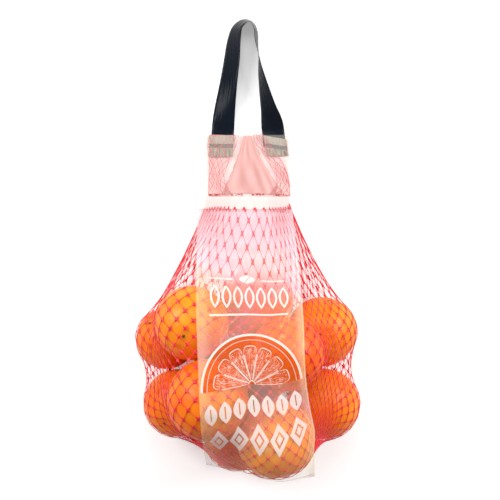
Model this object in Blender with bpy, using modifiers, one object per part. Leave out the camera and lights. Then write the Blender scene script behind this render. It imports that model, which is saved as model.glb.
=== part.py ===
"""Net bag of oranges, lying on its back with the label up and the strap towards +Y.

The filled net is one closed solid: a tight skin round a pile of oranges, drawn in to a
flat neck. A film label lies over it, a folded film header holds the neck, and a flat
strap is sealed into the header and stands on edge where it turns over at the top,
with half a turn between its two ends.
"""
import math

import bmesh
import bpy
import numpy as np

MM = 0.001
GAP = 0.3 * MM                      # clearance between touching pieces

# Oranges in millimetres: x, y and radius, in the order in which they settle on the pile.
ORANGES_MM = (
    (-83.5, -88.5, 31.0),
    (-72.5, -153.0, 33.8),
    (72.0, -81.5, 34.8),
    (4.0, -121.0, 35.0),
    (8.5, -50.5, 35.4),
    (-13.0, -187.5, 33.0),
    (73.0, -153.0, 36.4),
    (-55.5, -69.5, 35.5),
    (35.0, -98.0, 35.8),
    (24.5, -178.5, 37.5),
    (-39.5, -140.0, 38.5),
)
SKIN = 0.6 * MM                     # net thickness over the peel

# The net between the pile and the header.
NECK_END_Y = 56 * MM
NECK_HALF_WIDTH = 45.5 * MM
NECK_THICKNESS = 1.2 * MM
NECK_MIDDLE_X = -5.6 * MM
NECK_WAIST = 11 * MM                # how far the drawn-in neck stands inside a straight taper
TIGHTNESS = 0.35                    # 0 follows each orange, 1 bridges straight across

# Folded film header, wider at its lower edge.
HEADER_Y = (42 * MM, 118.5 * MM)
HEADER_X_LOW = (-54.6 * MM, 43.3 * MM)
HEADER_X_TOP = (-50.5 * MM, 40.0 * MM)
HEADER_THICKNESS = 3.2 * MM
MOUTH_DEPTH = 15 * MM
TAB_SLOT_DEPTH = 22.5 * MM
TAB_SLOT_SPARE = 4 * MM

# Film label over the front of the net.
LABEL_THICKNESS = 0.6 * MM
LABEL_LIFT = 0.5 * MM
LABEL_LOW_X = (-42.5 * MM, 60.0 * MM)
LABEL_LOW_Y = -212 * MM

# Strap: x, y, height of the lower edge (mm) and roll of its width out of the flat (degrees).
STRAP_WIDTH = 23 * MM
STRAP_THICKNESS = 0.8 * MM
STRAP_ROUTE = (
    (-29.3, 98.0, 1.2, 0),
    (-28.7, 110.0, 1.2, 0),
    (-27.9, 123.0, 1.2, 0),
    (-27.2, 133.0, 0.7, 10),
    (-25.2, 150.0, 0.4, 25),
    (-22.0, 172.0, 0.4, 38),
    (-18.8, 194.0, 0.4, 44),
    (-16.6, 214.0, 0.4, 52),
    (-13.4, 227.0, 0.4, 60),
    (-6.5, 233.6, 0.4, 66),
    (0.8, 233.6, 0.4, 76),
    (5.6, 226.0, 0.4, 80),
    (6.8, 212.0, 0.4, 82),
    (8.6, 199.0, 0.4, 89),
    (10.4, 184.0, 0.4, 100),
    (14.2, 165.0, 0.4, 114),
    (18.8, 145.0, 0.4, 132),
    (21.9, 133.0, 0.7, 156),
    (23.8, 123.0, 1.2, 180),
    (25.3, 110.0, 1.2, 180),
    (26.3, 98.0, 1.2, 180),
)
STRAP_STEPS = 121
STRAP_UPPER_SIDE = (2,)             # its triangles follow those of the side below, as it twists

RING_POINTS = 52
BOTTOM_STATIONS = (0.3 * MM, 1.8 * MM, 4.6 * MM, 8.6 * MM)
EVEN_FROM = 13.5 * MM
EVEN_STATIONS = 44
DIRECTIONS = np.radians(np.arange(0, 360, 5))
DOWN = 3 * len(DIRECTIONS) // 4
FAR_BELOW = -1.0                    # stands in for a reach where there is no orange
TOUCH = 0.001 * MM
EDGE_ON = 1e-6

# Centre of the whole bag in the plane, moved to the origin.
MIDDLE = (-2.6 * MM, 8.9 * MM)


def clear_scene():
    for old in list(bpy.data.objects):
        bpy.data.objects.remove(old, do_unlink=True)


def new_collection(name):
    collection = bpy.data.collections.new(name)
    bpy.context.scene.collection.children.link(collection)
    return collection


def material(name, colour, roughness, alpha=1.0):
    made = bpy.data.materials.new(name)
    made.use_nodes = True
    shader = made.node_tree.nodes["Principled BSDF"]
    shader.inputs["Base Color"].default_value = (*colour, 1)
    shader.inputs["Roughness"].default_value = roughness
    shader.inputs["Metallic"].default_value = 0
    shader.inputs["Alpha"].default_value = alpha
    return made


def add_object(name, bm, collection, parent, finish=None):
    mesh = bpy.data.meshes.new(name)
    bm.to_mesh(mesh)
    bm.free()
    mesh.shade_smooth()
    made = bpy.data.objects.new(name, mesh)
    collection.objects.link(made)
    made.parent = parent
    if finish:
        mesh.materials.append(finish)
    return made


def settle(oranges_mm):
    """Drop each orange straight down on to the floor and the oranges already placed."""
    placed = []
    for x, y, radius in oranges_mm:
        height = radius
        for other_x, other_y, other_z, other_radius in placed:
            apart = math.hypot(x - other_x, y - other_y)
            touching = radius + other_radius
            if apart < touching:
                height = max(height, other_z + math.sqrt(touching ** 2 - apart ** 2))
        placed.append((x, y, height, radius))
    return np.array(placed) * MM


def pile_reach(oranges, stations):
    """Reach of the pile's cross-section at each station along each direction."""
    along = np.outer(oranges[:, 0], np.cos(DIRECTIONS)) + np.outer(oranges[:, 2], np.sin(DIRECTIONS))
    reach = np.full((len(stations), len(DIRECTIONS)), -np.inf)
    for row, y in enumerate(stations):
        inside = (oranges[:, 3] + SKIN) ** 2 - (y - oranges[:, 1]) ** 2
        for k in np.flatnonzero(inside > 0):
            reach[row] = np.maximum(reach[row], along[k] + math.sqrt(inside[k]))
    return reach


def neck_reach():
    """Reach of the flat end of the neck along each direction."""
    middle_z = HEADER_THICKNESS / 2
    middle = NECK_MIDDLE_X * np.cos(DIRECTIONS) + middle_z * np.sin(DIRECTIONS)
    half = NECK_HALF_WIDTH * abs(np.cos(DIRECTIONS)) + NECK_THICKNESS / 2 * abs(np.sin(DIRECTIONS))
    return middle + half


def taut(stations, reach):
    """Straight bridges over the hollows of one direction's profile along the bag."""
    corners = []
    for point in zip(stations, reach):
        while len(corners) > 1:
            (y0, h0), (y1, h1) = corners[-2:]
            if (h1 - h0) * (point[0] - y0) > (point[1] - h0) * (y1 - y0):
                break
            corners.pop()
        corners.append(point)
    ys, hs = zip(*corners)
    return np.interp(stations, ys, hs)


def bag_reach(oranges, stations):
    """Reach of the net: close round the pile, bridged a little, and drawn in at the neck."""
    raw = pile_reach(oranges, stations)
    end = neck_reach()
    reach = raw.copy()
    for k, direction in enumerate(DIRECTIONS):
        in_pile = np.isfinite(raw[:, k])
        heights = np.where(in_pile, raw[:, k], FAR_BELOW)
        heights[-2:] = end[k]
        bridge = np.append(taut(stations[:-1], heights[:-1]), end[k])
        touching = in_pile & (bridge - heights < TOUCH)
        last_touch = stations[np.flatnonzero(touching).max()]
        tail = np.clip((stations - last_touch) / (stations[-2] - last_touch), 0, 1)
        waist = NECK_WAIST * 4 * tail * (1 - tail) * abs(math.cos(direction))
        mixed = heights + TIGHTNESS * (bridge - heights)
        reach[:, k] = np.where(tail > 0, np.maximum(bridge - waist, heights), mixed)
    lowest = oranges[oranges[:, 1].argmin(), 1]
    pile_end = (oranges[:, 1] + oranges[:, 3]).max()
    rising = np.clip((stations - pile_end) / (stations[-2] - pile_end), 0, 1)
    on_floor = -rising * (HEADER_THICKNESS - NECK_THICKNESS) / 2
    reach[:, DOWN] = np.where(stations >= lowest, on_floor, np.minimum(raw[:, DOWN], 0))
    return reach


def bag_rings(reach, stations, grow=0.0):
    """Points of each cross-section, cut by a straight line across every direction's reach."""
    right, up, left, down = (reach[:, k * len(DIRECTIONS) // 4] for k in range(4))
    middle_x, middle_z = (right - left) / 2, (up - down) / 2
    turns = np.arange(RING_POINTS) * 2 * math.pi / RING_POINTS
    rings = []
    for row, y in enumerate(stations):
        half_x = (right[row] + left[row]) / 2
        half_z = (up[row] + down[row]) / 2
        angle = np.arctan2(half_z * np.sin(turns), half_x * np.cos(turns))
        facing = np.cos(angle[:, None] - DIRECTIONS[None, :])
        own = reach[row] - middle_x[row] * np.cos(DIRECTIONS) - middle_z[row] * np.sin(DIRECTIONS)
        reached = np.where(facing > EDGE_ON, (own + grow) / np.maximum(facing, EDGE_ON), np.inf)
        distance = reached.min(axis=1)
        x = middle_x[row] + distance * np.cos(angle)
        z = middle_z[row] + distance * np.sin(angle)
        rings.append(np.column_stack([x, np.full(RING_POINTS, y), z]))
    return rings


def bag_stations(oranges):
    """Even stations along the bag, with closer ones where the bottom end rounds off."""
    bottom = (oranges[:, 1] - oranges[:, 3]).min() - SKIN
    rounding = bottom + np.array(BOTTOM_STATIONS)
    even = np.linspace(bottom + EVEN_FROM, HEADER_Y[0] - MM, EVEN_STATIONS)
    return np.concatenate([rounding, even, [NECK_END_Y]])


def loft(bm, rings, closed=True, mirrored=()):
    """Triangles over rings of equal point count, split the same way but for mirrored strips."""
    rows = [[bm.verts.new(point) for point in ring] for ring in rings]
    count = len(rows[0])
    for lower, upper in zip(rows, rows[1:]):
        for k in range(count if closed else count - 1):
            after = (k + 1) % count
            if k in mirrored:
                bm.faces.new((lower[k], lower[after], upper[k]))
                bm.faces.new((lower[after], upper[after], upper[k]))
            else:
                bm.faces.new((lower[k], lower[after], upper[after]))
                bm.faces.new((lower[k], upper[after], upper[k]))
    return rows


def build_net(rings, collection, parent):
    bm = bmesh.new()
    rows = loft(bm, rings)
    bm.faces.new(rows[0])
    bm.faces.new(rows[-1])
    bmesh.ops.recalc_face_normals(bm, faces=bm.faces)
    red_mesh = material("net", (0.75, 0.17, 0.03), 0.5)
    return add_object("net_bag", bm, collection, parent, red_mesh)


def prism(name, outline, z_range, collection, parent):
    """Upright prism over a flat outline, used for plates and cutters."""
    bm = bmesh.new()
    base = bm.faces.new([bm.verts.new((x, y, z_range[0])) for x, y in outline])
    top = bmesh.ops.extrude_face_region(bm, geom=[base])
    lifted = [v for v in top["geom"] if isinstance(v, bmesh.types.BMVert)]
    bmesh.ops.translate(bm, verts=lifted, vec=(0, 0, z_range[1] - z_range[0]))
    bmesh.ops.recalc_face_normals(bm, faces=bm.faces)
    return add_object(name, bm, collection, parent)


def as_cutter(made):
    made.hide_render = True
    made.display_type = 'WIRE'
    return made


def boolean(target, cutter, operation):
    modifier = target.modifiers.new(cutter.name, 'BOOLEAN')
    modifier.operation = operation
    modifier.solver = 'EXACT'
    modifier.object = cutter


def build_label(rings, collection, cutters, parent):
    """Thin shell parallel to the net's upper side, trimmed to the film's straight edges."""
    upper = [ring[1:RING_POINTS // 2] for ring in rings]
    bm = bmesh.new()
    loft(bm, upper, closed=False)
    bmesh.ops.recalc_face_normals(bm, faces=bm.faces)
    if sum(face.normal.z for face in bm.faces) < 0:
        bmesh.ops.reverse_faces(bm, faces=bm.faces)
    film = material("label_film", (0.95, 0.55, 0.4), 0.35, 0.6)
    label = add_object("label_film", bm, collection, parent, film)
    wall = label.modifiers.new("thickness", 'SOLIDIFY')
    wall.thickness = LABEL_THICKNESS
    wall.offset = 1
    top_y = HEADER_Y[0] - GAP
    outline = [
        (HEADER_X_LOW[0], top_y),
        (LABEL_LOW_X[0], LABEL_LOW_Y),
        (LABEL_LOW_X[1], LABEL_LOW_Y),
        (HEADER_X_LOW[1], top_y),
    ]
    top_z = max(ring[:, 2].max() for ring in rings) + 2 * LABEL_THICKNESS
    trim = as_cutter(prism("label_trim", outline, (-MM, top_z), cutters, parent))
    boolean(label, trim, 'INTERSECT')
    return label


def build_header(collection, cutters, parent):
    """Plate of folded film, open below for the net and above for the strap's two ends."""
    outline = [
        (HEADER_X_LOW[0], HEADER_Y[0]),
        (HEADER_X_LOW[1], HEADER_Y[0]),
        (HEADER_X_TOP[1], HEADER_Y[1]),
        (HEADER_X_TOP[0], HEADER_Y[1]),
    ]
    header = prism("header_film", outline, (0, HEADER_THICKNESS), collection, parent)
    header.data.materials.append(material("header_film", (0.98, 0.93, 0.86), 0.4))
    middle = HEADER_THICKNESS / 2
    mouth_half = NECK_THICKNESS / 2 + GAP
    mouth_outline = rectangle(
        NECK_MIDDLE_X, HEADER_Y[0] + (MOUTH_DEPTH - MM) / 2,
        2 * NECK_HALF_WIDTH + 2 * GAP, MOUTH_DEPTH + MM,
    )
    mouth = prism("header_mouth", mouth_outline, (middle - mouth_half, middle + mouth_half), cutters, parent)
    boolean(header, as_cutter(mouth), 'DIFFERENCE')
    for side, place in (("left", STRAP_ROUTE[0]), ("right", STRAP_ROUTE[-1])):
        slot_outline = rectangle(
            place[0] * MM, HEADER_Y[1] - (TAB_SLOT_DEPTH - MM) / 2,
            STRAP_WIDTH + TAB_SLOT_SPARE, TAB_SLOT_DEPTH + MM,
        )
        low = place[2] * MM - GAP
        high = place[2] * MM + STRAP_THICKNESS + GAP
        slot = prism("tab_slot_" + side, slot_outline, (low, high), cutters, parent)
        boolean(header, as_cutter(slot), 'DIFFERENCE')
    return header


def rectangle(x, y, width, depth):
    return [
        (x - width / 2, y - depth / 2),
        (x + width / 2, y - depth / 2),
        (x + width / 2, y + depth / 2),
        (x - width / 2, y + depth / 2),
    ]


def smooth_route(points, steps):
    """Even steps along a smooth curve in plan; height and roll change evenly between points."""
    points = np.array(points, dtype=float)
    padded = np.vstack([2 * points[0] - points[1], points, 2 * points[-1] - points[-2]])
    at = np.linspace(0, len(points) - 1, steps)
    out = []
    for step in at:
        k = min(int(step), len(points) - 2)
        t = step - k
        p0, p1, p2, p3 = padded[k:k + 4]
        out.append(0.5 * (2 * p1 + (p2 - p0) * t + (2 * p0 - 5 * p1 + 4 * p2 - p3) * t ** 2
                          + (3 * p1 - p0 - 3 * p2 + p3) * t ** 3))
    route = np.array(out)
    for column in (2, 3):
        route[:, column] = np.interp(at, np.arange(len(points)), points[:, column])
    return route


def build_strap(collection, parent):
    """Flat ribbon swept along its route, rolled on edge where it turns over at the top."""
    route = smooth_route(STRAP_ROUTE, STRAP_STEPS)
    plan = route[:, :2] * MM
    tangent = np.gradient(plan, axis=0)
    tangent /= np.linalg.norm(tangent, axis=1)[:, None]
    inward = np.column_stack([tangent[:, 1], -tangent[:, 0]])
    rings = []
    for (x, y), side, row in zip(plan, inward, route):
        roll = math.radians(row[3])
        across = np.array([side[0] * math.cos(roll), side[1] * math.cos(roll), math.sin(roll)])
        normal = np.array([-side[0] * math.sin(roll), -side[1] * math.sin(roll), math.cos(roll)])
        half = abs(math.sin(roll)) * STRAP_WIDTH / 2 + abs(math.cos(roll)) * STRAP_THICKNESS / 2
        middle = np.array([x, y, row[2] * MM + half])
        corners = []
        for u, v in ((-1, -1), (1, -1), (1, 1), (-1, 1)):
            corners.append(middle + across * u * STRAP_WIDTH / 2 + normal * v * STRAP_THICKNESS / 2)
        rings.append(corners)
    bm = bmesh.new()
    rows = loft(bm, rings, mirrored=STRAP_UPPER_SIDE)
    bm.faces.new(rows[0])
    bm.faces.new(rows[-1])
    bmesh.ops.recalc_face_normals(bm, faces=bm.faces)
    return add_object("handle_strap", bm, collection, parent, material("strap", (0.012, 0.016, 0.025), 0.3))


def build():
    clear_scene()
    parts = new_collection("net_of_oranges")
    cutters = new_collection("cutters")
    bag = bpy.data.objects.new("bag_place", None)
    bag.location = (-MIDDLE[0], -MIDDLE[1], 0)
    parts.objects.link(bag)

    oranges = settle(ORANGES_MM)
    stations = bag_stations(oranges)
    reach = bag_reach(oranges, stations)
    build_net(bag_rings(reach, stations), parts, bag)
    build_label(bag_rings(reach, stations, LABEL_LIFT), parts, cutters, bag)
    build_header(parts, cutters, bag)
    build_strap(parts, bag)


build()
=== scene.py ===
import math
import random

import bmesh
import bpy
import numpy as np
from mathutils import Matrix, Vector


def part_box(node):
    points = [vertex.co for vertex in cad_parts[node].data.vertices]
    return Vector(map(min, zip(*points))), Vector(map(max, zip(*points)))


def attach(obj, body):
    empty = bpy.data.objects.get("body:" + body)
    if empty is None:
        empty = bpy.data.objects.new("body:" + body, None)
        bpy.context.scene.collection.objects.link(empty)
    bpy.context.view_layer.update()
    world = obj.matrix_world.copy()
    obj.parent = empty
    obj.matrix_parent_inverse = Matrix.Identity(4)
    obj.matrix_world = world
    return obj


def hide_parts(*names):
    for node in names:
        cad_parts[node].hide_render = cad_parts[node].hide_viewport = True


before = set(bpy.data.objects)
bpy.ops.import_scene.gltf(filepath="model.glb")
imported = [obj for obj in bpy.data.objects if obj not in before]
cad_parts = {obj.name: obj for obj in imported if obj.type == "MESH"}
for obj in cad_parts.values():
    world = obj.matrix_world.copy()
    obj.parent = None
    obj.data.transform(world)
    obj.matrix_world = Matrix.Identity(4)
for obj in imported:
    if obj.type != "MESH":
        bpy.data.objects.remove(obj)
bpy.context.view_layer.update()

scene = bpy.context.scene
MM = 0.001

# ---------------------------------------------------------------------------
# Laying out. The folded header is the one straight-edged piece, so the whole
# bag is set out from the lower left corner of its lower edge.
header_low, header_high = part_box("header_film")
HEADER_LEFT_MM, HEADER_FOOT_MM = -54.6, 42.0
BAG_X = header_low[0] - HEADER_LEFT_MM * MM
BAG_Y = header_low[1] - HEADER_FOOT_MM * MM


def to_frame(points_mm):
    """Points of the bag's own layout, in millimetres, as places in the frame."""
    return np.asarray(points_mm, dtype=float) * MM + np.array([BAG_X, BAG_Y, 0.0])


def finish_piece(name, mesh_source, finish, smooth=True):
    """One finished piece: its mesh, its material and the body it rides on."""
    mesh = bpy.data.meshes.new(name)
    mesh_source.to_mesh(mesh)
    mesh_source.free()
    if smooth:
        mesh.shade_smooth()
    mesh.materials.append(finish)
    piece = bpy.data.objects.new(name, mesh)
    scene.collection.objects.link(piece)
    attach(piece, "root")
    return piece


# ---------------------------------------------------------------------------
# The oranges. Juice oranges of uneven size, heaped as they settled in the net:
# each is dropped on those before it. Thin waxy peel with oil pores, a button
# where the stem was and a small navel scar at the other end.
ORANGES_MM = (
    (-83.5, -88.5, 31.0),
    (-72.5, -153.0, 33.8),
    (72.0, -81.5, 34.8),
    (4.0, -121.0, 35.0),
    (8.5, -50.5, 35.4),
    (-13.0, -187.5, 33.0),
    (73.0, -153.0, 36.4),
    (-55.5, -69.5, 35.5),
    (35.0, -98.0, 35.8),
    (24.5, -178.5, 37.5),
    (-39.5, -140.0, 38.5),
)


def settle(oranges):
    """Heights at which the oranges come to rest, one after the other."""
    placed = []
    for x, y, radius in oranges:
        height = radius
        for other_x, other_y, other_z, other_radius in placed:
            apart = math.hypot(x - other_x, y - other_y)
            touching = radius + other_radius
            if apart < touching:
                height = max(height, other_z + math.sqrt(touching ** 2 - apart ** 2))
        placed.append((x, y, height, radius))
    return np.array(placed)


pile = settle(ORANGES_MM)


class Wire:
    """A value that runs between shader nodes, so that a pattern is written as a sum."""

    def __init__(self, finish, socket):
        self.finish = finish
        self.socket = socket

    def _math(self, operation, first, second=None):
        values = {k: v for k, v in enumerate((first, second)) if v is not None}
        return self.finish.node("ShaderNodeMath", {"operation": operation}, values)

    def __add__(self, other):
        return self._math('ADD', self, other)

    def __radd__(self, other):
        return self._math('ADD', other, self)

    def __sub__(self, other):
        return self._math('SUBTRACT', self, other)

    def __rsub__(self, other):
        return self._math('SUBTRACT', other, self)

    def __mul__(self, other):
        return self._math('MULTIPLY', self, other)

    def __rmul__(self, other):
        return self._math('MULTIPLY', other, self)

    def __truediv__(self, other):
        return self._math('DIVIDE', self, other)

    def __abs__(self):
        return self._math('ABSOLUTE', self)

    def __pow__(self, other):
        return self._math('POWER', self, other)

    def root(self):
        return self._math('SQRT', self)

    def cycle(self, period):
        """The value within its own period, counted from the middle of that period."""
        return self._math('FLOORED_MODULO', self, period) - period / 2

    def most(self, other):
        return self._math('MAXIMUM', self, other)

    def least(self, other):
        return self._math('MINIMUM', self, other)

    def below(self, edge, soft):
        """1 where the value is under the edge and 0 above it, with a soft step between."""
        settings = {"interpolation_type": 'SMOOTHSTEP'}
        values = {0: self, 1: edge - soft, 2: edge + soft, 3: 1.0, 4: 0.0}
        return self.finish.node("ShaderNodeMapRange", settings, values)

    def above(self, edge, soft):
        return 1 - self.below(edge, soft)

    def between(self, low, high, soft):
        return self.above(low, soft) * self.below(high, soft)

    def spread(self, low, high, to_low=0.0, to_high=1.0):
        """The value's stretch from low to high, carried over to another stretch."""
        values = {0: self, 1: low, 2: high, 3: to_low, 4: to_high}
        return self.finish.node("ShaderNodeMapRange", {}, values)


class Finish:
    """A material while it is being written, node by node."""

    def __init__(self, name, **constants):
        self.material = bpy.data.materials.new(name)
        self.material.use_nodes = True
        self.tree = self.material.node_tree
        self.shader = self.tree.nodes["Principled BSDF"]
        for socket, value in constants.items():
            self.shader.inputs[socket.replace("_", " ")].default_value = value

    def put(self, socket, value):
        if isinstance(value, Wire):
            self.tree.links.new(value.socket, socket)
        else:
            socket.default_value = value

    def node(self, kind, settings=None, values=None, output=0):
        made = self.tree.nodes.new(kind)
        for key, value in (settings or {}).items():
            if key == "stops":
                ramp = made.color_ramp.elements
                while len(ramp) < len(value):
                    ramp.new(1.0)
                for element, (place, colour) in zip(ramp, value):
                    element.position = place
                    element.color = colour
            else:
                setattr(made, key, value)
        for key, value in (values or {}).items():
            self.put(made.inputs[key], value)
        return Wire(self, made.outputs[output])

    def place(self):
        return self.node("ShaderNodeTexCoord", output="Object")

    def attribute(self, name, output="Fac"):
        return self.node("ShaderNodeAttribute", {"attribute_name": name}, output=output)

    def parts(self, vector):
        return [self.node("ShaderNodeSeparateXYZ", {}, {0: vector}, output=axis) for axis in "XYZ"]

    def vector(self, x, y, z=0.0):
        return self.node("ShaderNodeCombineXYZ", {}, {0: x, 1: y, 2: z})

    def noise(self, where, scale, detail=2.0, roughness=0.5):
        values = {"Vector": where, "Scale": scale, "Detail": detail, "Roughness": roughness}
        return self.node("ShaderNodeTexNoise", values=values)

    def mix(self, factor, first, second):
        """One colour over another; a colour mix keeps its sockets 0, 6 and 7, and 2."""
        sockets = {0: factor, 6: first, 7: second}
        return self.node("ShaderNodeMix", {"data_type": 'RGBA'}, sockets, output=2)

    def bump(self, height, distance, strength=1.0):
        values = {"Height": height, "Distance": distance, "Strength": strength}
        return self.node("ShaderNodeBump", {}, values)

    def set(self, **links):
        for socket, value in links.items():
            self.put(self.shader.inputs[socket.replace("_", " ")], value)
        return self.material


def srgb(red, green, blue):
    """A colour written as screen values of 0 to 255, as the shader wants it."""
    channels = []
    for value in (red / 255, green / 255, blue / 255):
        channels.append(value / 12.92 if value <= 0.04045 else ((value + 0.055) / 1.055) ** 2.4)
    return (*channels, 1.0)


PEEL_DEEP = srgb(242, 84, 8)
PEEL = srgb(253, 130, 14)
PEEL_PALE = srgb(255, 170, 36)
PEEL_SCAR = srgb(96, 50, 22)


def peel_finish():
    peel = Finish(
        "peel", IOR=1.45, Specular_IOR_Level=0.32, Subsurface_Weight=0.1, Subsurface_Scale=0.002,
    )
    peel.shader.inputs["Subsurface Radius"].default_value = (1.0, 0.45, 0.15)
    where = peel.place()
    tone = peel.attribute("tone")
    blush = peel.noise(where, 26.0, 3.0)
    warm = (tone * 0.7 + blush * 0.6 - 0.15).spread(0.15, 0.85)
    colour = peel.mix(warm, PEEL_DEEP, PEEL)
    colour = peel.mix(((warm - 0.45) * 1.6).most(0.0), colour, PEEL_PALE)
    cells = {"Vector": where, "Scale": 620.0, "Randomness": 0.9}
    pores = peel.node("ShaderNodeTexVoronoi", {"feature": 'F1'}, cells)
    pore_pits_and_shade = pores.below(0.34, 0.2)
    # painted shade: the peel is darkened towards its deep orange in the pore pits, where the bump
    # dips
    colour = peel.mix(pore_pits_and_shade * 0.22, colour, PEEL_DEEP)
    specks = peel.noise(where, 95.0, 2.0).above(0.735, 0.015)
    colour = peel.mix(specks * 0.55, colour, PEEL_SCAR)
    swell = peel.noise(where, 60.0, 2.0)
    relief = peel.bump(swell * 0.5 - pore_pits_and_shade * 0.5, 0.0006, 0.55)
    gloss = peel.noise(where, 180.0, 2.0).spread(0.2, 0.8, 0.28, 0.42)
    return peel.set(Base_Color=colour, Roughness=gloss, Normal=relief)


ORANGE_SEGMENTS, ORANGE_RINGS = 72, 48
TONES, SQUASHES = (0.25, 0.8), (0.955, 0.985)       # from pale to deep, and from flat to round
LOBE, DIMPLE, NAVEL = 0.006, 0.045, 0.02
random.seed(11)
oranges = bmesh.new()
tone_layer = oranges.verts.layers.float.new("tone")
stem_places = []
STEM_AIMS = {
    0: (-16, 17, 19),
    1: (-12, -18, 26),
    2: (-4, -0.5, 34.5),
    7: (-6, -10.5, 33),
    10: (6, -12, 36),
}
for number, (x, y, z, radius) in enumerate(pile):
    made = bmesh.ops.create_uvsphere(
        oranges, u_segments=ORANGE_SEGMENTS, v_segments=ORANGE_RINGS, radius=radius * MM,
    )
    aim = Vector(STEM_AIMS.get(number, [random.uniform(-1, 1) for _ in range(3)])).normalized()
    tone = random.uniform(*TONES)
    squash = random.uniform(*SQUASHES)
    turn = aim.to_track_quat('Z', 'Y').to_matrix()
    for vertex in made["verts"]:
        vertex[tone_layer] = tone
        height = vertex.co.z / (radius * MM)
        around = math.atan2(vertex.co.y, vertex.co.x)
        lobes = LOBE * (math.sin(3 * around + number) - 1) * (1 - height ** 2)
        dimple = DIMPLE * math.exp(-((1 - height) / 0.02))
        navel = NAVEL * math.exp(-((1 + height) / 0.015))
        vertex.co *= 1 + lobes - (dimple + navel)
        vertex.co.z *= squash
    centre = Vector(to_frame((x, y, z)))
    place = Matrix.Translation(centre) @ turn.to_4x4()
    bmesh.ops.transform(oranges, matrix=place, verts=made["verts"])
    stem_places.append((centre, turn, radius * MM * squash))
bmesh.ops.remove_doubles(oranges, verts=oranges.verts, dist=1e-6)
oranges_piece = finish_piece("oranges", oranges, peel_finish())
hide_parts("net_bag")


# A smaller core in the shade of the pile, so that no daylight shows between the fruit. Its deep
# orange, darker than the peel, is painted shade for the shaded fruit at the back.
CORE_MM = ((-6.0, -104.0, 46.0), (44.0, 58.0, 34.0))


def painted_shade_core_finish():
    core = Finish("pile_core_painted_shade", Roughness=0.7)
    shade = core.noise(core.place(), 40.0)
    # painted shade: two oranges darker than the peel, mixed at random
    return core.set(Base_Color=core.mix(shade, srgb(204, 78, 18), srgb(224, 98, 24)))


core = bmesh.new()
bmesh.ops.create_uvsphere(core, u_segments=48, v_segments=32, radius=1.0)
core_radii = Matrix.Diagonal((*CORE_MM[1], 1000)) * MM
core_place = Matrix.Translation(to_frame(CORE_MM[0]))
bmesh.ops.transform(core, verts=core.verts, matrix=core_place @ core_radii)
core_piece = finish_piece("pile_core_painted_shade", core, painted_shade_core_finish())
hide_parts("net_bag")


# The stem buttons: dry five-lobed stars of greenish brown, sunk in the dimples.
BUTTON_RADIUS, BUTTON_HEIGHT = 2.7, 0.9
BUTTON_SINK = 0.95


def button_finish():
    button = Finish("stem_button", Roughness=0.75)
    grain = button.noise(button.place(), 900.0, 2.0)
    return button.set(Base_Color=button.mix(grain, srgb(38, 34, 16), srgb(104, 96, 48)))


buttons = bmesh.new()
for number in STEM_AIMS:
    centre, turn, radius = stem_places[number]
    made = bmesh.ops.create_cone(
        buttons, cap_ends=True, segments=20, depth=BUTTON_HEIGHT * MM,
        radius1=BUTTON_RADIUS * MM, radius2=0.55 * BUTTON_RADIUS * MM,
    )
    for vertex in made["verts"]:
        around = math.atan2(vertex.co.y, vertex.co.x)
        lobe = 0.72 + 0.28 * math.cos(5 * around)
        vertex.co.x *= lobe
        vertex.co.y *= lobe
    lift = Matrix.Translation((0, 0, BUTTON_SINK * radius + 0.2 * MM))
    place = Matrix.Translation(centre) @ turn.to_4x4() @ lift
    bmesh.ops.transform(buttons, matrix=place, verts=made["verts"])
bmesh.ops.recalc_face_normals(buttons, faces=buttons.faces)
buttons_piece = finish_piece("stem_buttons", buttons, button_finish(), smooth=False)
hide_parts("net_bag")


# ---------------------------------------------------------------------------
# The net. Extruded plastic netting, its strands fused where they cross, in one
# tube that is gathered flat into the header above and into the label's hem below.
CELLS_ROUND = 46
ROWS = 19
NECK_ROWS = 4.0
NECK_CELL, PILE_CELL = 20.0, 9.4        # how slack strands are, near their length
NECK_MIDDLE, PILE_MIDDLE = 3.2, 1.15    # how much longer strands are in the middle of a side
STRAND, NODE = 0.8, 0.95
STRAND_CLEAR, FLOOR_CLEAR = 0.6, 1.0
COARSE_ROUNDS, FINE_ROUNDS = 1500, 160  # rounds of pulling, before and after strands are halved
NECK_END = (-43.5, 38.5, 57.0, 1.7)     # left, right, y and height of the gathered end
NECK_MOUTH = 42.0                       # the header grips the net flat above this line
HEM_END = (-42.0, 61.5)


def hem_height(x):
    """The hem hangs a little higher on its right."""
    return 84.0 + 0.1 * (x + 40.0)


def net_hem(x):
    """The net's lower end is drawn up at its corners and bows out round the lowest orange."""
    lowest_x, lowest_y, rise = 24.0, -217.5, 31.0
    beside = (x - lowest_x) / np.where(x < lowest_x, 67.0, 40.0)
    return lowest_y + rise * np.clip(beside ** 2, 0, 1), hem_height(x)


def draw_tight(points, links, pull, held, obstacles, rounds, floor):
    """Pulls a mesh of strands tight over round obstacles and above a floor."""
    count = len(points)
    ends = np.concatenate([links[:, 0], links[:, 1]])
    others = np.concatenate([links[:, 1], links[:, 0]])
    weight = np.concatenate([pull, pull])
    total = np.bincount(ends, weights=weight, minlength=count)[:, None]
    fixed = points[held].copy()
    speed = np.zeros_like(points)
    for _ in range(rounds):
        mean = np.empty_like(points)
        for axis in range(3):
            drawn_by = weight * points[others, axis]
            mean[:, axis] = np.bincount(ends, weights=drawn_by, minlength=count)
        speed = 0.88 * speed + 0.5 * (mean / total - points)
        points = points + speed
        for x, y, z, radius in obstacles:
            away = points - (x, y, z)
            distance = np.linalg.norm(away, axis=1)
            inside = distance < radius
            points[inside] += away[inside] * (radius / distance[inside] - 1)[:, None]
            speed[inside] *= 0.5
        points[:, 2] = np.maximum(points[:, 2], floor)
        gripped = points[:, 1] > NECK_MOUTH
        points[gripped, 2] = NECK_END[3]
        points[held] = fixed
    return points


def lattice(mesh):
    """A mesh's points, and the pair of points that each strand joins."""
    mesh.verts.index_update()
    points = np.array([v.co for v in mesh.verts])
    links = np.array([[v.index for v in e.verts] for e in mesh.edges])
    return points, links


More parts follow.
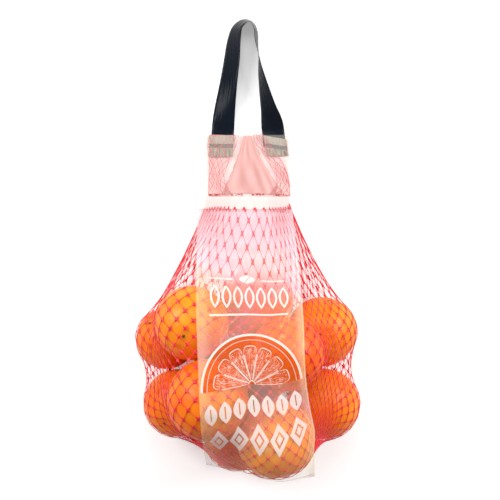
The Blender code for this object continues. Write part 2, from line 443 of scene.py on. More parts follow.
net = bmesh.new()
bmesh.ops.create_circle(net, segments=CELLS_ROUND, radius=1.0)
rim = list(net.edges)
for _ in range(ROWS):
    grown = bmesh.ops.extrude_edge_only(net, edges=rim)["geom"]
    risen = [v for v in grown if isinstance(v, bmesh.types.BMVert)]
    bmesh.ops.translate(net, verts=risen, vec=(0, 0, 1))
    risen = set(risen)
    rim = [e for e in grown if isinstance(e, bmesh.types.BMEdge) and risen.issuperset(e.verts)]
squares = [e for e in net.edges if not e.is_boundary]
bmesh.ops.poke(net, faces=net.faces)
bmesh.ops.dissolve_edges(net, edges=squares, use_verts=False)

tube, strands = lattice(net)
turn = np.arctan2(tube[:, 1], tube[:, 0]) % (2 * math.pi)
row = tube[:, 2]
share = row / ROWS
across = abs(1 - turn / math.pi)
neck_x = np.interp(across, (0, 0.43, 0.57, 1), (0, 0.32, 0.746, 1))
neck_x = NECK_END[0] + (NECK_END[1] - NECK_END[0]) * neck_x
hem_x = np.interp(across, (0, 0.38, 0.62, 1), (0, 0.16, 0.84, 1))
hem_x = HEM_END[0] + (HEM_END[1] - HEM_END[0]) * hem_x
hem_y, hem_z = net_hem(hem_x)
bulge = np.sin(math.pi * share) ** 0.6
start = np.column_stack([
    neck_x + (hem_x - neck_x) * share + 140 * bulge * np.cos(turn),
    NECK_END[2] + (hem_y - NECK_END[2]) * share - 60 * np.sin(math.pi * share) * share,
    NECK_END[3] + (hem_z - NECK_END[3]) * share + 120 * bulge * np.sin(turn),
])
net_round = [(x, y, z, radius + STRAND_CLEAR) for x, y, z, radius in pile]


# Neck cells are drawn out long, most of all in the middle; cells over the oranges are short.
in_neck = np.clip((NECK_ROWS + 1.5 - row) / 3, 0, 1)
in_middle = np.exp(-((across - 0.5) / 0.13) ** 2)
slack = PILE_CELL + (NECK_CELL - PILE_CELL) * in_neck
slack *= 1 + in_middle * (PILE_MIDDLE - 1 + (NECK_MIDDLE - PILE_MIDDLE) * in_neck)
held = (row < 0.25) | (row > ROWS - 0.25)
pull = 1 / slack[strands].mean(axis=1)
drawn = draw_tight(start, strands, pull, held, net_round, COARSE_ROUNDS, FLOOR_CLEAR)
for vertex, point in zip(net.verts, drawn):
    vertex.co = point
node_count = len(net.verts)
bmesh.ops.bisect_edges(net, edges=net.edges, cuts=1)
points, strands = lattice(net)
middles = np.zeros((len(points), 3))
middles[:node_count, 0], middles[:node_count, 1], middles[:node_count, 2] = row, slack, 1
for a, b in strands:
    if max(a, b) >= node_count:
        middles[max(a, b)] += middles[min(a, b)]
rows_of, slack_of = middles[:, 0] / middles[:, 2], middles[:, 1] / middles[:, 2]
held = (rows_of < 0.25) | (rows_of > ROWS - 0.25)
pull = 1 / slack_of[strands].mean(axis=1)
net_points = draw_tight(points, strands, pull, held, net_round, FINE_ROUNDS, FLOOR_CLEAR)
for vertex, point in zip(net.verts, to_frame(net_points)):
    vertex.co = point


def net_finish():
    red = Finish("net_red", Roughness=0.36, IOR=1.5, Subsurface_Weight=0.15, Subsurface_Scale=0.001)
    cloud = red.noise(red.place(), 30.0, 2.0)
    colour = red.mix(cloud, srgb(214, 14, 36), srgb(240, 40, 62))
    draw_marks = red.noise(red.place(), 900.0, 1.0)
    return red.set(Base_Color=colour, Normal=red.bump(draw_marks, 0.00008, 0.5))


net_red = net_finish()
for side, keep_front in (("net_front", True), ("net_back", False)):
    half = net.copy()
    half.verts.ensure_lookup_table()
    dropped = []
    for face in half.faces:
        facing = np.mean([math.sin(turn[v.index]) for v in face.verts if v.index < node_count])
        at_end = sum(held[v.index] for v in face.verts)
        if (facing > 0) != keep_front or at_end > 1:
            dropped.append(face)
    bmesh.ops.delete(half, geom=dropped, context='FACES')
    half.verts.index_update()
    thick = half.verts.layers.deform.verify()
    for vertex in half.verts:
        vertex[thick][0] = 1.0 if len(vertex.link_edges) > 2 else STRAND / NODE
    bmesh.ops.recalc_face_normals(half, faces=half.faces)
    piece = finish_piece(side, half, net_red)
    piece.vertex_groups.new(name="thick")
    wire = piece.modifiers.new("strands", 'WIREFRAME')
    wire.thickness = NODE * MM
    wire.use_even_offset = False
    wire.use_boundary = True
    wire.vertex_group = "thick"
    rounder = piece.modifiers.new("rounded", 'SUBSURF')
    rounder.levels = rounder.render_levels = 1
    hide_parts("net_bag")
net.free()


# ---------------------------------------------------------------------------
# The label. One strip of soft clear film from the header down the front of the net
# to a welded hem, printed in white. It is stretched, so it bridges from orange to
# orange; a second ply behind the net only shows as a haze where no fruit backs it.
FILM_LIFT, FILM_OVER_NET = 1.7, 0.9     # over the oranges, and over the net alone
FILM_TOP = (42.0, 3.6)                  # y and height of the film's upper end
FILM_CENTRE = (-100.0, 20.0)            # the axis that the film is wrapped round
FILM_SPAN = 242.0                       # from the upper end to the hem, as seen from above
UPPER_NET_Y, UPPER_NET_Z = -60.0, 3.0   # above this y the film also lies on the net
FILM_COLUMNS, FILM_ROWS = 48, 130
FILM_BRIDGE = 0.65                      # how far hollows are bridged: 1 is drum-tight
FILM_THICK = 0.12
FILM_WIDTH = 98.0
HEM_WIDTH = 7.5


def film_hem(x):
    """The film's lower hem runs askew and bows out round the lowest orange."""
    bow = 10.5 * np.exp(-((x - 27.0) / 22.0) ** 2)
    return -203.0 - 0.085 * (x + 43.0) - bow, hem_height(x)


def film_edges(y):
    """Left and right edge of the strip, which runs a little askew down the bag."""
    down = np.clip((FILM_TOP[0] - y) / FILM_SPAN, 0, 1.2)
    left = -54.6 + 12.4 * down
    right = 43.3 + 16.7 * down
    waist = 3.2 * np.exp(-((y + 108) / 40) ** 2)
    flare = 2.6 * np.exp(-((y + 168) / 16) ** 2)
    return left, right - waist + flare


def bridged(places, heights):
    """Straight bridges over the hollows of a profile."""
    corners = []
    for place, height in zip(places, heights):
        while len(corners) > 1:
            (x0, h0), (x1, h1) = corners[-2:]
            if (h1 - h0) * (place - x0) > (height - h0) * (x1 - x0):
                break
            corners.pop()
        corners.append((place, height))
    xs, hs = zip(*corners)
    return np.interp(places, xs, hs)


facing = np.radians(np.arange(-60, 215, 2.5))
film_x = np.arange(-62.0, 70.0, 2.0)
reach = np.empty((len(film_x), len(facing)))
net_y, net_z = net_points[:, 1], net_points[:, 2]
upper_net = net_points[(net_z > UPPER_NET_Z) & (net_y < NECK_MOUTH) & (net_y > UPPER_NET_Y)]
for k, x in enumerate(film_x):
    hem_y, hem_z = film_hem(x)
    own = np.maximum(
        FILM_TOP[0] * np.cos(facing) + FILM_TOP[1] * np.sin(facing),
        (hem_y - 0.5) * np.cos(facing) + hem_z * np.sin(facing),
    )
    for ox, oy, oz, radius in pile:
        inside = (radius + FILM_LIFT) ** 2 - (x - ox) ** 2
        if inside > 0:
            own = np.maximum(own, oy * np.cos(facing) + oz * np.sin(facing) + math.sqrt(inside))
    for _, ny, nz in upper_net[abs(upper_net[:, 0] - x) < 4.0]:
        own = np.maximum(own, ny * np.cos(facing) + nz * np.sin(facing) + FILM_OVER_NET)
    reach[k] = own
close = reach.copy()
for k in range(len(facing)):
    close[:, k] += FILM_BRIDGE * (bridged(film_x, reach[:, k]) - reach[:, k])
kernel = np.array([1, 4, 6, 4, 1]) / 16
for k in range(len(facing)):
    padded = np.pad(close[:, k], 2, mode='edge')
    close[:, k] = np.maximum(np.convolve(padded, kernel, mode='valid'), reach[:, k])
close -= FILM_CENTRE[0] * np.cos(facing) + FILM_CENTRE[1] * np.sin(facing)


def film_point(x, angle):
    """Where the film crosses a ray from its centre, in the upright plane at x."""
    k = (x - film_x[0]) / (film_x[1] - film_x[0])
    low = int(min(max(k, 0), len(film_x) - 2))
    own = close[low] + (close[low + 1] - close[low]) * (k - low)
    towards = np.cos(angle - facing)
    seen = towards > 0.02
    distance = (own[seen] / towards[seen]).min()
    return FILM_CENTRE[0] + distance * math.cos(angle), FILM_CENTRE[1] + distance * math.sin(angle)


def film_angles(x):
    hem_y, hem_z = film_hem(x)
    first = math.atan2(FILM_TOP[1] - FILM_CENTRE[1], FILM_TOP[0] - FILM_CENTRE[0])
    last = math.atan2(hem_z - FILM_CENTRE[1], hem_y - FILM_CENTRE[0])
    return first, last


fine = np.linspace(0, 1, 400)
first, last = film_angles(5.0)
profile = np.array([film_point(5.0, first + (last - first) * f) for f in fine])
lengths = np.append(0, np.cumsum(np.linalg.norm(np.diff(profile, axis=0), axis=1)))
film_length = lengths[-1]


def film_sheet(columns, rows, to_share, height_share):
    """A ply of the label: its share of the length, and its height against the outer ply's."""
    shares = np.interp(np.linspace(0, film_length * to_share, rows + 1), lengths, fine)
    sheet = bmesh.new()
    bmesh.ops.create_grid(sheet, x_segments=columns, y_segments=rows, size=0.5)
    uv_layer = sheet.loops.layers.uv.new("film")
    stand_off = sheet.verts.layers.float.new("stand_off")
    printed = {}
    for vertex in sheet.verts:
        t = vertex.co.x + 0.5
        v = vertex.co.y + 0.5
        f = shares[int(round(v * rows))]
        y = FILM_TOP[0] - 240 * v * to_share
        for _ in range(3):
            left, right = film_edges(y)
            x = left + (right - left) * t
            first, last = film_angles(x)
            y, z = film_point(x, first + (last - first) * f)
        printed[vertex.index] = (t * FILM_WIDTH / 100, v * to_share * film_length / 100)
        place = np.array([x, y, z])
        clear = np.linalg.norm(pile[:, :3] - place, axis=1) - pile[:, 3]
        vertex[stand_off] = clear.min() / 100
        place[2] = max(z * np.interp(v, (0.0, 0.5, 0.85, 1.0), height_share), FLOOR_CLEAR)
        vertex.co = Vector(to_frame(place))
    for face in sheet.faces:
        for loop in face.loops:
            loop[uv_layer].uv = printed[loop.vert.index]
    bmesh.ops.recalc_face_normals(sheet, faces=sheet.faces)
    return sheet


def lens(a, d, half_width, half_height):
    """How far inside a pointed oval the place is, 1 on its middle line and 0 on its rim."""
    return 1 - abs(a) / half_width - (d / half_height) * (d / half_height)


def lozenge(a, d, half_width, half_height):
    return 1 - abs(a) / half_width - abs(d) / half_height


FILM_CLEAR = srgb(255, 234, 178)
FILM_HAZE = srgb(246, 222, 228)
PRINT_WHITE = srgb(255, 244, 236)
SLICE_ORANGE = srgb(236, 108, 28)
PRINT_SLANT = 0.085
RULES_AT, RULE_HALF = 108.5, 0.8
SIGN_AT, SIGN_HALF = 130.0, 13.5
UNDERLINE_AT = 150.5
SLICE_AT, SLICE_RADIUS = 216.0, 45.5
SLICE_WEDGES = 7
LEAVES_AT, LEAVES_HALF = 235.5, 10.0
DIAMONDS_AT, DIAMONDS_HALF = 266.5, 15.5


def film_finish():
    film = Finish("label_film", Roughness=0.3, IOR=1.45, Specular_IOR_Level=0.3)
    u, v, _ = film.parts(film.node("ShaderNodeUVMap", {"uv_map": "film"}))
    a, down = u * 100, v * 100          # millimetres across the strip and down it
    d = down + (a - FILM_WIDTH / 2) * PRINT_SLANT
    soft = 0.22

    rules = (d - RULES_AT).between(-RULE_HALF, RULE_HALF, soft)
    rules = rules * (a.between(12, 34, soft) + a.between(60.4, 82.8, soft))
    sprig_a = a - 47.5
    sprig = lens(sprig_a, d - RULES_AT + 1.0, 7.5, 5.5)
    sprig = sprig.above(0.0, 0.08) * (1 - abs(sprig_a + (d - RULES_AT) * 0.6).below(0.5, 0.2))
    sign_a = (a - 12).cycle(10.6)
    sign = lens(sign_a, d - SIGN_AT, 4.6, SIGN_HALF)
    sign = sign.above(0.0, 0.06) * sign.below(0.42, 0.06) * a.between(12.0, 86.2, soft)
    underline = (d - UNDERLINE_AT).between(-0.95, 0.95, soft) * a.between(12, 84, soft)

    across, up = a - 48.1, SLICE_AT - d
    distance = (across * across + up * up).root()
    angle = film.node("ShaderNodeMath", {"operation": 'ARCTAN2'}, {0: up, 1: across})
    upper = up.above(0.0, 0.3)
    field = upper * distance.below(SLICE_RADIUS - 1.0, 0.4)
    rind = upper * distance.between(SLICE_RADIUS - 1.1, SLICE_RADIUS + 1.0, 0.25)
    pith = upper * distance.between(SLICE_RADIUS - 5.1, SLICE_RADIUS - 4.5, 0.2)
    share = (angle * (SLICE_WEDGES / math.pi)).cycle(1.0)
    reach_out = 35.0 - (abs(share) * 2) ** 5 * 9.0
    rounds = abs(distance - reach_out).below(0.4, 0.22)
    sides = (abs(abs(share) - 0.46) * distance * (math.pi / SLICE_WEDGES)).below(0.28, 0.2)
    sides = sides * distance.between(4.0, 27.5, 0.4)
    wedge = distance.between(4.5, 33.0, 1.0) * abs(share).below(0.42, 0.02)
    fibres = film.noise(film.vector(angle * 14.0, distance * 0.05), 2.3, 1.0)
    fibres = abs(fibres - 0.5).below(0.028, 0.02) * wedge
    core = abs(distance - 3.0).below(0.5, 0.25)
    slice_lines = (rounds + sides + core + fibres * 0.8).least(1.0) * upper

    leaves_a = (a - 3.2).cycle(12.75)
    leaves = lens(leaves_a, d - LEAVES_AT, 5.6, LEAVES_HALF).above(0.0, 0.05)
    vein = abs(leaves_a).below(0.55, 0.2) * (d - LEAVES_AT).between(-5.5, 5.5, 0.4)
    leaves = leaves * (1 - vein)
    leaves = leaves * a.between(3.2, 92.5, soft)
    diamonds_a = (a - 5.8).cycle(17.4)
    diamonds = lozenge(diamonds_a, d - DIAMONDS_AT, 8.3, DIAMONDS_HALF)
    diamonds = diamonds.above(0.0, 0.03) * (1 - diamonds.between(0.48, 0.66, 0.03))
    diamonds = diamonds * a.between(5.8, 92.8, soft)

    white = (rules + sprig + sign + underline + leaves + diamonds).least(1.0)
    white = (white + rind + pith * 0.8 + slice_lines).least(1.0)

    off = film.attribute("stand_off") * 100
    loose = off.spread(2.0, 26.0)
    margin = a.below(9.0, 6.0) * 0.8 + a.above(FILM_WIDTH - 6.0, 3.5)
    # painted highlight: the film's edges, the right one most, are drawn as a whiter, more opaque
    # line
    rim = a.below(0.5, 0.3) * 0.5 + a.above(FILM_WIDTH - 1.3, 0.3)
    # thin whiter streaks in the film, partly its creases and partly painted highlight
    crease_and_highlight = film.noise(film.vector(a * 0.05 + d * 0.012, d * 0.01), 1.0, 2.0)
    crease_and_highlight = abs(crease_and_highlight - 0.5).below(0.004, 0.005)
    hem_at = film_length - HEM_WIDTH
    hem = down.above(hem_at, 0.4)
    weld = abs(down - hem_at).below(0.6, 0.3)
    cloud = film.noise(film.place(), 22.0, 2.0)
    haze = 0.055 + 0.03 * loose + 0.13 * margin + 0.05 * cloud + 0.07 * hem + 0.12 * crease_and_highlight
    haze = haze.most(rim * 0.4).most(weld * 0.4)
    haze = haze + (field * 0.36 - haze).most(0.0)
    alpha = haze + white * (0.56 - haze)
    colour = film.mix(loose, FILM_CLEAR, FILM_HAZE)
    colour = film.mix(field, colour, SLICE_ORANGE)
    colour = film.mix(white, colour, PRINT_WHITE)
    pucker = film.noise(film.place(), 60.0, 2.0)
    return film.set(Base_Color=colour, Alpha=alpha, Normal=film.bump(pucker, 0.001, 0.25))


film_piece = finish_piece(
    "label_film_front", film_sheet(FILM_COLUMNS, FILM_ROWS, 1.0, (1, 1, 1, 1)), film_finish(),
)
wall = film_piece.modifiers.new("thickness", 'SOLIDIFY')
wall.thickness = FILM_THICK * MM
wall.offset = 0
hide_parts("label_film")


def lining_finish():
    ply = Finish("label_film_lining", Roughness=0.45, IOR=1.45)
    _, v, _ = ply.parts(ply.node("ShaderNodeUVMap", {"uv_map": "film"}))
    fade = (v * 100).below(110.0, 26.0)
    cloud = ply.noise(ply.place(), 16.0, 2.0)
    colour = ply.mix(cloud, srgb(244, 214, 226), srgb(253, 230, 234))
    return ply.set(Base_Color=colour, Alpha=fade * (0.78 + 0.2 * cloud))


LINING_SHARE, LINING_HEIGHT = 0.42, (0.2, 0.7, 0.79, 0.8)
lining_piece = finish_piece(
    "label_film_lining", film_sheet(24, 40, LINING_SHARE, LINING_HEIGHT), lining_finish(),
)
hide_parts("label_film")


# ---------------------------------------------------------------------------
# The header. A sleeve of cream film welded round the gathered end of the net: a clear
# front, a cloudy back, and between them the wrinkled salmon gusset and the net's strands.
HEADER_TOP_MM = 118.5
HEADER_MID_Z, HEADER_HALF_Z = 1.6, 1.45
HEADER_SIDES = ((-54.6, 43.3), (-50.5, 40.0))       # left and right, at the foot and at the top
CREAM = srgb(255, 250, 243)
HEADER_NET = (-44.5, 40.5)              # left and right of the net inside the header
LOW_BAND_TOP = 54.6


def header_x(t, y):
    up = (y - HEADER_FOOT_MM) / (HEADER_TOP_MM - HEADER_FOOT_MM)
    (left, right), (top_left, top_right) = HEADER_SIDES
    left = left + (top_left - left) * up
    right = right + (top_right - right) * up
    return left + (right - left) * t


def header_finish():
    sleeve = Finish("header_sleeve", Roughness=0.4, IOR=1.45, Specular_IOR_Level=0.3)
    place = sleeve.place()
    x, y, _ = sleeve.parts(place)
    x = (x - BAG_X) * 1000
    y = (y - BAG_Y) * 1000
    front = sleeve.attribute("front")
    torn = sleeve.noise(place, 160.0, 2.0)
    low_band = y.below(LOW_BAND_TOP, 0.3)
    line = abs(y - LOW_BAND_TOP).below(0.3, 0.2)
    dash = (x + 2.8).cycle(22.4)
    dash = abs(dash).below(6.8, 0.5) * abs(y - 57.0 + (torn - 0.5) * 3).below(1.2, 0.5)
    broken = sleeve.noise(place, 520.0, 1.0).above(0.47, 0.06)
    dash = dash * broken * x.between(*HEADER_NET, 0.5) * front
    scallop = abs((y * 0.7).cycle(6.0)) * 0.55
    pink = x.between(*HEADER_NET, 1.5) * y.between(50.0, 116.0, 5.0)
    pink = x.above(-44.0 + scallop, 1.2) * pink * (1 - front)
    cloud = sleeve.noise(place, 45.0, 3.0).spread(0.35, 0.65)
    tint = sleeve.mix(cloud, srgb(255, 238, 232), srgb(248, 205, 203))
    colour = sleeve.mix(pink, CREAM, tint)
    colour = sleeve.mix(low_band * front, colour, srgb(255, 243, 238))
    colour = sleeve.mix(line, colour, srgb(244, 222, 214))
    colour = sleeve.mix(dash, colour, srgb(178, 24, 44))
    front_alpha = 0.14 + 0.55 * low_band + 0.2 * line
    alpha = front * front_alpha.most(dash * 0.95) + (1 - front) * 0.96
    ripple = sleeve.noise(place, 70.0, 2.0)
    return sleeve.set(Base_Color=colour, Alpha=alpha, Normal=sleeve.bump(ripple, 0.001, 0.2))


sleeve = bmesh.new()
front_layer = sleeve.verts.layers.float.new("front")
for front in (0.0, 1.0):
    made = bmesh.ops.create_grid(sleeve, x_segments=40, y_segments=34, size=0.5)
    for vertex in made["verts"]:
        t = vertex.co.x + 0.5
        y = HEADER_FOOT_MM + (HEADER_TOP_MM - HEADER_FOOT_MM) * (vertex.co.y + 0.5)
        x = header_x(t, y)
        y += (vertex.co.y + 0.5) ** 4 * 2.6 * math.exp(-((x + 3.0) / 9.0) ** 2)
        open_by = HEADER_HALF_Z * (1 - abs(2 * t - 1) ** 10)
        ripple = 0.12 * math.sin(0.31 * x + 0.05 * y) * math.sin(0.23 * y)
        z = HEADER_MID_Z + (2 * front - 1) * (open_by - 0.12) + ripple * (1 if open_by > 0.5 else 0)
        vertex.co = Vector(to_frame((x, y, z)))
        vertex[front_layer] = front
bmesh.ops.recalc_face_normals(sleeve, faces=sleeve.faces)
sleeve_piece = finish_piece("header_sleeve", sleeve, header_finish())
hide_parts("header_film")


def gusset_finish():
    fold = Finish("header_gusset", Roughness=0.4, IOR=1.45)
    depth = fold.attribute("fold")
    cloud = fold.noise(fold.place(), 55.0, 3.0)
    # painted shade: the gusset is darker in the troughs of its folds and lighter on their crests,
    # mixed with a random cloud
    shade = (depth * 0.75 + cloud * 0.5 - 0.1).spread(0.0, 1.0)
    colour = fold.mix(shade, srgb(196, 122, 112), srgb(240, 182, 178))
    edge = fold.attribute("edge")
    return fold.set(Base_Color=colour, Alpha=0.95 * edge.above(0.06, 0.06))


GUSSET_TOP = (118.0, -7.5, 2.3)         # y, left and right of its upper end
GUSSET_LOW = (57.5, -30.0, 35.5)
GUSSET_FOLDS = 5
gusset = bmesh.new()
fold_shade_layer = gusset.verts.layers.float.new("fold")
edge_layer = gusset.verts.layers.float.new("edge")
bmesh.ops.create_grid(gusset, x_segments=60, y_segments=40, size=0.5)
for vertex in gusset.verts:
    t, v = vertex.co.x + 0.5, 0.5 - vertex.co.y
    y = GUSSET_TOP[0] + (GUSSET_LOW[0] - GUSSET_TOP[0]) * v
    spread = v ** 1.35
    left = GUSSET_TOP[1] + (GUSSET_LOW[1] - GUSSET_TOP[1]) * spread
    right = GUSSET_TOP[2] + (GUSSET_LOW[2] - GUSSET_TOP[2]) * spread
    wave = math.sin(2 * math.pi * (GUSSET_FOLDS * t + 0.7 * math.sin(2.2 * v + 4 * t)))
    wave = wave * (0.35 + 0.65 * v) + 0.35 * math.sin(19 * t + 7 * v)
    vertex.co = Vector(to_frame((left + (right - left) * t, y, 1.75 + 0.22 * wave)))
    # the fold height, stored to drive the gusset's painted shade
    vertex[fold_shade_layer] = 0.5 + 0.4 * wave
    vertex[edge_layer] = min(4 * t, 4 * (1 - t), 6 * (1 - v), 1.0) + 0.05 * math.sin(40 * v + 9 * t)
gusset_piece = finish_piece("header_gusset", gusset, gusset_finish())
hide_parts("header_film")


# The gathered ends of the net inside the header, one bunch on each side of the gusset:
# for each height y, its left and right edge.
GATHER_LEFT = ((118.0, -42.0, -11.0), (106.0, -43.5, -16.0), (94.0, -43.0, -20.0),
               (84.0, -42.0, -25.0), (72.0, -43.0, -28.0), (57.0, -43.0, -20.0))
GATHER_RIGHT = ((119.0, 4.0, 13.0), (106.0, 8.5, 21.0), (93.0, 18.0, 33.5),
                (80.0, 27.0, 38.0), (70.0, 30.0, 40.0), (57.0, 20.0, 40.5))


def gathered(route, cells, rows, seed):
    """A bunch of netting laid flat between two curved edges, its cells pulled long."""
    random.seed(seed)
    bunch = bmesh.new()
    bmesh.ops.create_grid(bunch, x_segments=cells, y_segments=rows, size=0.5)
    straight = [e for e in bunch.edges if not e.is_boundary]
    bmesh.ops.poke(bunch, faces=bunch.faces)
    bmesh.ops.dissolve_edges(bunch, edges=straight, use_verts=False)
    ys, lefts, rights = (np.array(column)[::-1] for column in zip(*route))
    for vertex in bunch.verts:
        t, v = vertex.co.x + 0.5, vertex.co.y + 0.5
        y = ys[0] + (ys[-1] - ys[0]) * v
        left, right = np.interp(y, ys, lefts), np.interp(y, ys, rights)
        x = left + (right - left) * t + random.uniform(-0.8, 0.8)
        place = (x, y + random.uniform(-1.0, 1.0), 2.3 + 0.15 * math.sin(5 * t + 9 * v))
        vertex.co = Vector(to_frame(place))
    return bunch


GATHER_STRAND = 0.75
for name, route, cells, rows, seed in (
    ("net_gather_left", GATHER_LEFT, 4, 6, 5),
    ("net_gather_right", GATHER_RIGHT, 3, 6, 9),
):
    piece = finish_piece(name, gathered(route, cells, rows, seed), net_red)
    wire = piece.modifiers.new("strands", 'WIREFRAME')
    wire.thickness = GATHER_STRAND * MM
    wire.use_even_offset = False
    wire.use_boundary = True
    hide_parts("header_film")


# ---------------------------------------------------------------------------
# The strap. A flat ribbon of glossy, nearly black film, sealed into the header at both
# ends under wrinkled tabs and turned over once on its way round.
STRAP_WIDTH, STRAP_THICK = 23.0, 0.35
STRAP_STEPS, STRAP_COLUMNS = 160, 8
STRAP_ROUTE = (                         # x, y, height of the lower edge, roll in degrees
    (-28.8, 108.0, 1.2, 0),
    (-27.9, 123.0, 1.2, 0),
    (-27.2, 133.0, 0.7, 10),
    (-25.2, 150.0, 0.4, 25),
    (-22.0, 172.0, 0.4, 38),
    (-18.8, 194.0, 0.4, 44),
    (-16.6, 214.0, 0.4, 52),
    (-13.4, 227.0, 0.4, 60),
    (-6.5, 233.6, 0.4, 66),
    (0.8, 233.6, 0.4, 76),
    (5.6, 226.0, 0.4, 80),
    (6.8, 212.0, 0.4, 82),
    (8.6, 199.0, 0.4, 89),
    (10.4, 184.0, 0.4, 100),
    (14.2, 165.0, 0.4, 114),
    (18.8, 145.0, 0.4, 132),
    (21.9, 133.0, 0.7, 156),
    (23.8, 123.0, 1.2, 180),
    (25.4, 108.0, 1.2, 180),
)


def smooth_route(points, steps):
    """Even steps along a smooth curve through the points."""
    points = np.array(points, dtype=float)
    padded = np.vstack([2 * points[0] - points[1], points, 2 * points[-1] - points[-2]])
    out = []
    for step in np.linspace(0, len(points) - 1, steps):
        k = min(int(step), len(points) - 2)
        t = step - k
        p0, p1, p2, p3 = padded[k:k + 4]
        out.append(0.5 * (2 * p1 + (p2 - p0) * t + (2 * p0 - 5 * p1 + 4 * p2 - p3) * t ** 2
                          + (3 * p1 - p0 - 3 * p2 + p3) * t ** 3))
    return np.array(out)


def strap_finish():
    strap = Finish("strap_black", Roughness=0.16, IOR=1.38, Specular_IOR_Level=0.1)
    u, v, _ = strap.parts(strap.node("ShaderNodeUVMap", {"uv_map": "strap"}))
    cloud = strap.noise(strap.place(), 14.0, 2.0)
    colour = strap.mix(cloud, srgb(14, 18, 25), srgb(23, 30, 40))
    ripple = strap.noise(strap.vector(u * 3.0, v * 9.0), 2.0, 2.0)
    smear = strap.noise(strap.vector(u * 2.0, v * 6.0), 3.0, 2.0).spread(0.3, 0.7, 0.1, 0.26)
    return strap.set(Base_Color=colour, Roughness=smear, Normal=strap.bump(ripple, 0.004, 0.15))


route = smooth_route(STRAP_ROUTE, STRAP_STEPS + 1)
along = np.gradient(route[:, :2], axis=0)
along /= np.linalg.norm(along, axis=1)[:, None]
ribbon = bmesh.new()
strap_uv = ribbon.loops.layers.uv.new("strap")
bmesh.ops.create_grid(ribbon, x_segments=STRAP_COLUMNS, y_segments=STRAP_STEPS, size=0.5)
ribbon_place = {}
for vertex in ribbon.verts:
    w = 2 * vertex.co.x
    step = int(round((vertex.co.y + 0.5) * STRAP_STEPS))
    x, y, low, roll = route[step]
    roll = math.radians(roll)
    side = np.array([along[step, 1], -along[step, 0], 0.0])
    half = abs(math.sin(roll)) * STRAP_WIDTH / 2 + abs(math.cos(roll)) * STRAP_THICK / 2
    across = side * math.cos(roll) + np.array([0, 0, math.sin(roll)])
    place = np.array([x, y, low + half]) + across * w * STRAP_WIDTH / 2
    ribbon_place[vertex.index] = (w, step / STRAP_STEPS)
    vertex.co = Vector(to_frame(place))
for face in ribbon.faces:
    for loop in face.loops:
        loop[strap_uv].uv = ribbon_place[loop.vert.index]
bmesh.ops.recalc_face_normals(ribbon, faces=ribbon.faces)
strap_piece = finish_piece("strap_ribbon", ribbon, strap_finish())
wall = strap_piece.modifiers.new("thickness", 'SOLIDIFY')
wall.thickness = STRAP_THICK * MM
wall.offset = 0
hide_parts("handle_strap")


# The tabs: where each strap end is pinched in the header, film and strap are crumpled
# together and sealed by a dark pressed line.
# Corners at top left, top right, low left and low right, and the line's height at each end.
TABS = (
    ((-41.9, 118.6), (-17.0, 118.2), (-42.4, 95.8), (-17.6, 96.4), 107.4, 107.2),
    ((13.4, 118.2), (36.9, 114.2), (17.2, 96.6), (39.3, 97.2), 108.0, 104.6),
)
TAB_WELD_HALF = 2.1


def tab_finish():
    tab = Finish("strap_tab", Roughness=0.4, IOR=1.45)
    u, v, _ = tab.parts(tab.node("ShaderNodeUVMap", {"uv_map": "tab"}))
    v = v * 100
    place = tab.place()
    crumple_and_shade = tab.noise(tab.vector(u * 5.0, v * 0.05), 2.2, 3.0)
    speck = tab.noise(place, 900.0, 2.0)
    # painted shade: the tab is darker where the crumple bump is low and lighter where it is high
    colour = tab.mix(crumple_and_shade.spread(0.35, 0.65), srgb(112, 100, 84), srgb(160, 146, 128))
    colour = tab.mix(v.above(0.0, 0.4) * 0.45, colour, srgb(192, 177, 162))
    weld = abs(v).below(TAB_WELD_HALF, 0.35)
    pressed = tab.mix(speck.above(0.5, 0.08), srgb(40, 54, 52), srgb(120, 106, 96))
    colour = tab.mix(weld, colour, pressed)
    red = speck.above(0.64, 0.02) * weld
    colour = tab.mix(red, colour, srgb(150, 30, 40))
    return tab.set(Base_Color=colour, Normal=tab.bump(crumple_and_shade, 0.002, 0.5))


tabs = bmesh.new()
tab_uv = tabs.loops.layers.uv.new("tab")
tab_place = {}
for top_left, top_right, low_left, low_right, weld_left, weld_right in TABS:
    made = bmesh.ops.create_grid(tabs, x_segments=24, y_segments=24, size=0.5)
    corners = [np.array(c) for c in (top_left, top_right, low_left, low_right)]
    for vertex in made["verts"]:
        t, v = vertex.co.x + 0.5, vertex.co.y + 0.5
        high = corners[0] * (1 - t) + corners[1] * t
        low = corners[2] * (1 - t) + corners[3] * t
        x, y = low * (1 - v) + high * v
        over_weld = y - (weld_left + (weld_right - weld_left) * t)
        rumple = 0.16 * math.sin(11 * t + 5 * v) * math.sin(3 + 8 * v)
        z = 2.45 + rumple - 0.3 * math.exp(-((over_weld / 2.5) ** 2))
        vertex.co = Vector(to_frame((x, y, z)))
        tab_place[vertex] = (t, over_weld / 100)
for face in tabs.faces:
    for loop in face.loops:
        loop[tab_uv].uv = tab_place[loop.vert]
tabs_piece = finish_piece("strap_tabs", tabs, tab_finish())
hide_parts("header_film")


# ---------------------------------------------------------------------------
# Floor, light and camera: a white sweep, soft light from both sides and above,
# and a camera that looks straight down on the bag.
FLOOR_GLOW = 0.32                       # lifts the floor round the bag to white, shadow kept
FLOOR_FADE = (0.75, 0.3)                # where the sweep turns to even white, and how softly


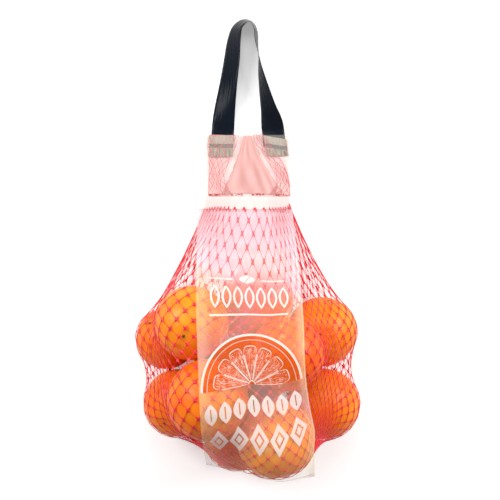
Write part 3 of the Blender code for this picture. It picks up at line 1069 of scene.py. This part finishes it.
def floor_finish():
    floor = Finish("floor_white", Roughness=0.6, Emission_Strength=1.0)
    sheet = floor.noise(floor.place(), 4.0)
    x, y, _ = floor.parts(floor.place())
    far = (x * x + y * y).root().above(*FLOOR_FADE)
    near_white = floor.mix(sheet, (0.9, 0.9, 0.9, 1), (0.92, 0.92, 0.92, 1))
    seen = floor.node("ShaderNodeLightPath", output="Is Camera Ray")
    glow = seen * (FLOOR_GLOW + far * (1 - FLOOR_GLOW))
    return floor.set(
        Base_Color=floor.mix(far, near_white, (0, 0, 0, 1)),
        Emission_Color=floor.mix(glow, (0, 0, 0, 1), (1, 1, 1, 1)),
    )


ground = bmesh.new()
bmesh.ops.create_grid(ground, x_segments=1, y_segments=1, size=2.5)
ground_mesh = bpy.data.meshes.new("floor")
ground.to_mesh(ground_mesh)
ground.free()
ground_mesh.materials.append(floor_finish())
floor = bpy.data.objects.new("floor", ground_mesh)
scene.collection.objects.link(floor)


def softbox(name, aim_from, size, power):
    lamp = bpy.data.lights.new(name, 'AREA')
    lamp.shape = 'RECTANGLE'
    lamp.size, lamp.size_y = size
    lamp.energy = power
    holder = bpy.data.objects.new(name, lamp)
    holder.location = aim_from
    target = Vector((0, -0.08, 0.05))
    holder.rotation_euler = (target - Vector(aim_from)).to_track_quat('-Z', 'Y').to_euler()
    scene.collection.objects.link(holder)


softbox("softbox_left", (-1.0, 0.45, 0.85), (0.7, 0.7), 15)
softbox("softbox_right", (1.1, 0.4, 0.75), (0.7, 0.7), 16)
softbox("softbox_above", (0.0, 0.8, 1.3), (1.2, 0.6), 6.5)

WORLD_LIGHT, WORLD_SEEN = 0.26, 1.0     # what lights the bag, and what the camera sees
world = bpy.data.worlds.new("studio")
scene.world = world
world.use_nodes = True
tree = world.node_tree
background = tree.nodes["Background"]
background.inputs["Color"].default_value = (1, 1, 1, 1)
path = tree.nodes.new("ShaderNodeLightPath")
level = tree.nodes.new("ShaderNodeMapRange")
level.inputs["To Min"].default_value = WORLD_LIGHT
level.inputs["To Max"].default_value = WORLD_SEEN
tree.links.new(path.outputs["Is Camera Ray"], level.inputs["Value"])
tree.links.new(level.outputs["Result"], background.inputs["Strength"])

CAMERA_HEIGHT = 1.1
camera_data = bpy.data.cameras.new("camera")
camera_data.sensor_width = 36.0
camera_data.lens = 76.7
camera = bpy.data.objects.new("camera", camera_data)
camera.location = (BAG_X, BAG_Y, CAMERA_HEIGHT)
scene.collection.objects.link(camera)
scene.camera = camera
scene.view_settings.view_transform = 'Standard'
